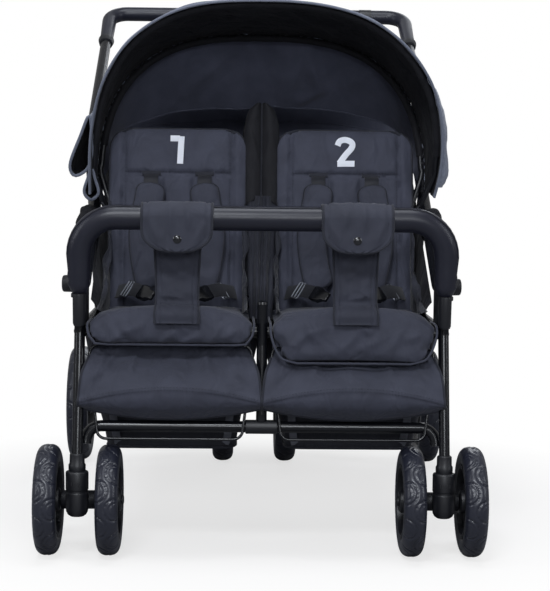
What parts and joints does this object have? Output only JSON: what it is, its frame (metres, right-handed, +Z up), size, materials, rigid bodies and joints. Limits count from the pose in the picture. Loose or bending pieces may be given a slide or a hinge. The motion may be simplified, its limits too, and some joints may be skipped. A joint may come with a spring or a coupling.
{
  "type": "quadruple stroller",
  "caption": "Folding tandem stroller with paired seats in two rows, twin front casters, bumper bar, hoods, baskets and a U handle",
  "frame": {"origin": "on the floor, under the middle of the whole stroller's box", "axes": "+X across the stroller, -Y to its front, +Z up"},
  "size_m": [0.824, 1.114, 1.0014],
  "materials": {
    "tube_paint": "satin black powder coat",
    "moulded_plastic": "fine moulded grain",
    "hoop_plastic": "smooth",
    "tyre_foam": "smooth closed-cell foam",
    "grip_foam": "soft foam skin",
    "steel": "zinc plated",
    "seat_cloth": "plain woven polyester",
    "hood_cloth": "heather woven polyester",
    "basket_cloth": "coated polyester",
    "webbing": "woven webbing",
    "numeral_print": "flat white print",
    "buckle": "moulded"
  },
  "bodies": {
    "frame": {"front_leg_left": "tube_paint", "front_leg_right": "tube_paint", "front_leg_middle": "tube_paint", "front_cross_tube": "tube_paint", "caster_socket_left": "moulded_plastic", "caster_socket_right": "moulded_plastic", "side_joint_left": "moulded_plastic", "side_joint_right": "moulded_plastic", "push_tube_left": "tube_paint", "push_tube_right": "tube_paint", "hinge_housing_left": "moulded_plastic", "hinge_housing_right": "moulded_plastic", "rear_arm_left": "tube_paint", "rear_arm_right": "tube_paint", "seat_frame": "tube_paint", "seat_pad_front_left": "seat_cloth", "seat_pad_front_right": "seat_cloth", "seat_pad_rear_left": "seat_cloth", "seat_pad_rear_right": "seat_cloth", "footrest_sling_left": "seat_cloth", "footrest_sling_right": "seat_cloth", "footrest_wire_left": "steel", "footrest_wire_right": "steel", "basket_left": "basket_cloth", "basket_right": "basket_cloth", "front_hood_fabric": "hood_cloth", "rear_hood_fabric": "hood_cloth"},
    "handle": {"handle_bar": "tube_paint", "handle_grip": "grip_foam"},
    "rear_legs": {"rear_leg_left": "tube_paint", "rear_leg_right": "tube_paint", "rear_axle": "steel"},
    "bumper": {"bumper_tube": "tube_paint", "bumper_grip": "grip_foam", "crotch_pad_left": "seat_cloth", "crotch_pad_right": "seat_cloth"},
    "caster_left": {"caster_yoke_left": "moulded_plastic"},
    "front_wheel_left_outer": {"front_wheel_left_outer": "tyre_foam"},
    "front_wheel_left_inner": {"front_wheel_left_inner": "tyre_foam"},
    "rear_wheel_left_outer": {"rear_tyre_left_outer": "tyre_foam", "rear_rim_left_outer": "moulded_plastic"},
    "rear_wheel_left_inner": {"rear_tyre_left_inner": "tyre_foam", "rear_rim_left_inner": "moulded_plastic"},
    "brake_left": {"brake_pedal_left": "moulded_plastic"},
    "backrest_front_left": {"backrest_front_left": "seat_cloth"},
    "backrest_rear_left": {"backrest_rear_left": "seat_cloth"},
    "caster_right": {"caster_yoke_right": "moulded_plastic"},
    "front_wheel_right_outer": {"front_wheel_right_outer": "tyre_foam"},
    "front_wheel_right_inner": {"front_wheel_right_inner": "tyre_foam"},
    "rear_wheel_right_outer": {"rear_tyre_right_outer": "tyre_foam", "rear_rim_right_outer": "moulded_plastic"},
    "rear_wheel_right_inner": {"rear_tyre_right_inner": "tyre_foam", "rear_rim_right_inner": "moulded_plastic"},
    "brake_right": {"brake_pedal_right": "moulded_plastic"},
    "backrest_front_right": {"backrest_front_right": "seat_cloth"},
    "backrest_rear_right": {"backrest_rear_right": "seat_cloth"},
    "front_hood_back": {"front_hood_rear_hoop": "hoop_plastic"},
    "front_hood_brim": {"front_hood_front_hoop": "hoop_plastic"},
    "rear_hood_back": {"rear_hood_rear_hoop": "hoop_plastic"},
    "rear_hood_brim": {"rear_hood_front_hoop": "hoop_plastic"}
  },
  "joints": [
    {"name": "handle_fold", "type": "hinge", "parent": "frame", "child": "handle", "pos_m": [0, 0.03, 0.695], "axis": [1, 0, 0], "range_deg": [0, 160]},
    {"name": "rear_leg_fold", "type": "hinge", "parent": "frame", "child": "rear_legs", "pos_m": [0, 0.05, 0.658], "axis": [-1, 0, 0], "range_deg": [0, 50]},
    {"name": "bumper_release", "type": "slide", "parent": "frame", "child": "bumper", "axis": [0, 0.1512, -0.9885], "range_m": [-0.05, 0]},
    {"name": "caster_left_swivel", "type": "hinge", "parent": "frame", "child": "caster_left", "pos_m": [-0.302, -0.5, 0.147], "axis": [0, 0, 1], "continuous": true},
    {"name": "front_wheel_left_outer_spin", "type": "hinge", "parent": "caster_left", "child": "front_wheel_left_outer", "pos_m": [-0.3525, -0.465, 0.092], "axis": [1, 0, 0], "continuous": true},
    {"name": "front_wheel_left_inner_spin", "type": "hinge", "parent": "caster_left", "child": "front_wheel_left_inner", "pos_m": [-0.2515, -0.465, 0.092], "axis": [1, 0, 0], "continuous": true},
    {"name": "rear_wheel_left_outer_spin", "type": "hinge", "parent": "rear_legs", "child": "rear_wheel_left_outer", "pos_m": [-0.381, 0.432, 0.125], "axis": [1, 0, 0], "continuous": true},
    {"name": "rear_wheel_left_inner_spin", "type": "hinge", "parent": "rear_legs", "child": "rear_wheel_left_inner", "pos_m": [-0.068, 0.432, 0.125], "axis": [1, 0, 0], "continuous": true},
    {"name": "brake_left_press", "type": "hinge", "parent": "rear_legs", "child": "brake_left", "pos_m": [-0.14, 0.432, 0.125], "axis": [-1, 0, 0], "range_deg": [0, 25]},
    {"name": "backrest_front_left_recline", "type": "hinge", "parent": "frame", "child": "backrest_front_left", "pos_m": [-0.149, -0.262, 0.372], "axis": [-1, 0, 0], "range_deg": [0, 30]},
    {"name": "backrest_rear_left_recline", "type": "hinge", "parent": "frame", "child": "backrest_rear_left", "pos_m": [-0.149, 0.275, 0.372], "axis": [-1, 0, 0], "range_deg": [0, 30]},
    {"name": "caster_right_swivel", "type": "hinge", "parent": "frame", "child": "caster_right", "pos_m": [0.302, -0.5, 0.147], "axis": [0, 0, 1], "continuous": true},
    {"name": "front_wheel_right_outer_spin", "type": "hinge", "parent": "caster_right", "child": "front_wheel_right_outer", "pos_m": [0.3525, -0.465, 0.092], "axis": [1, 0, 0], "continuous": true},
    {"name": "front_wheel_right_inner_spin", "type": "hinge", "parent": "caster_right", "child": "front_wheel_right_inner", "pos_m": [0.2515, -0.465, 0.092], "axis": [1, 0, 0], "continuous": true},
    {"name": "rear_wheel_right_outer_spin", "type": "hinge", "parent": "rear_legs", "child": "rear_wheel_right_outer", "pos_m": [0.381, 0.432, 0.125], "axis": [1, 0, 0], "continuous": true},
    {"name": "rear_wheel_right_inner_spin", "type": "hinge", "parent": "rear_legs", "child": "rear_wheel_right_inner", "pos_m": [0.068, 0.432, 0.125], "axis": [1, 0, 0], "continuous": true},
    {"name": "brake_right_press", "type": "hinge", "parent": "rear_legs", "child": "brake_right", "pos_m": [0.14, 0.432, 0.125], "axis": [-1, 0, 0], "range_deg": [0, 25]},
    {"name": "backrest_front_right_recline", "type": "hinge", "parent": "frame", "child": "backrest_front_right", "pos_m": [0.149, -0.262, 0.372], "axis": [-1, 0, 0], "range_deg": [0, 30]},
    {"name": "backrest_rear_right_recline", "type": "hinge", "parent": "frame", "child": "backrest_rear_right", "pos_m": [0.149, 0.275, 0.372], "axis": [-1, 0, 0], "range_deg": [0, 30]},
    {"name": "front_hood_fold", "type": "hinge", "parent": "frame", "child": "front_hood_back", "pos_m": [0, -0.2, 0.55416], "axis": [-1, 0, 0], "range_deg": [0, 20], "deforming": ["front_hood_fabric"]},
    {"name": "front_hood_brim_fold", "type": "hinge", "parent": "front_hood_back", "child": "front_hood_brim", "pos_m": [0, -0.2, 0.55416], "axis": [-1, 0, 0], "range_deg": [0, 20]},
    {"name": "rear_hood_fold", "type": "hinge", "parent": "frame", "child": "rear_hood_back", "pos_m": [0, 0.14, 0.673], "axis": [-1, 0, 0], "range_deg": [0, 20], "deforming": ["rear_hood_fabric"]},
    {"name": "rear_hood_brim_fold", "type": "hinge", "parent": "rear_hood_back", "child": "rear_hood_brim", "pos_m": [0, 0.14, 0.673], "axis": [-1, 0, 0], "range_deg": [0, 34]}
  ],
  "couplings": [
    {"joint": "rear_leg_fold", "follows": "handle_fold", "ratio": 0.3125},
    {"joint": "front_hood_brim_fold", "follows": "front_hood_fold", "ratio": 1},
    {"joint": "rear_hood_brim_fold", "follows": "rear_hood_fold", "ratio": 1.7}
  ]
}
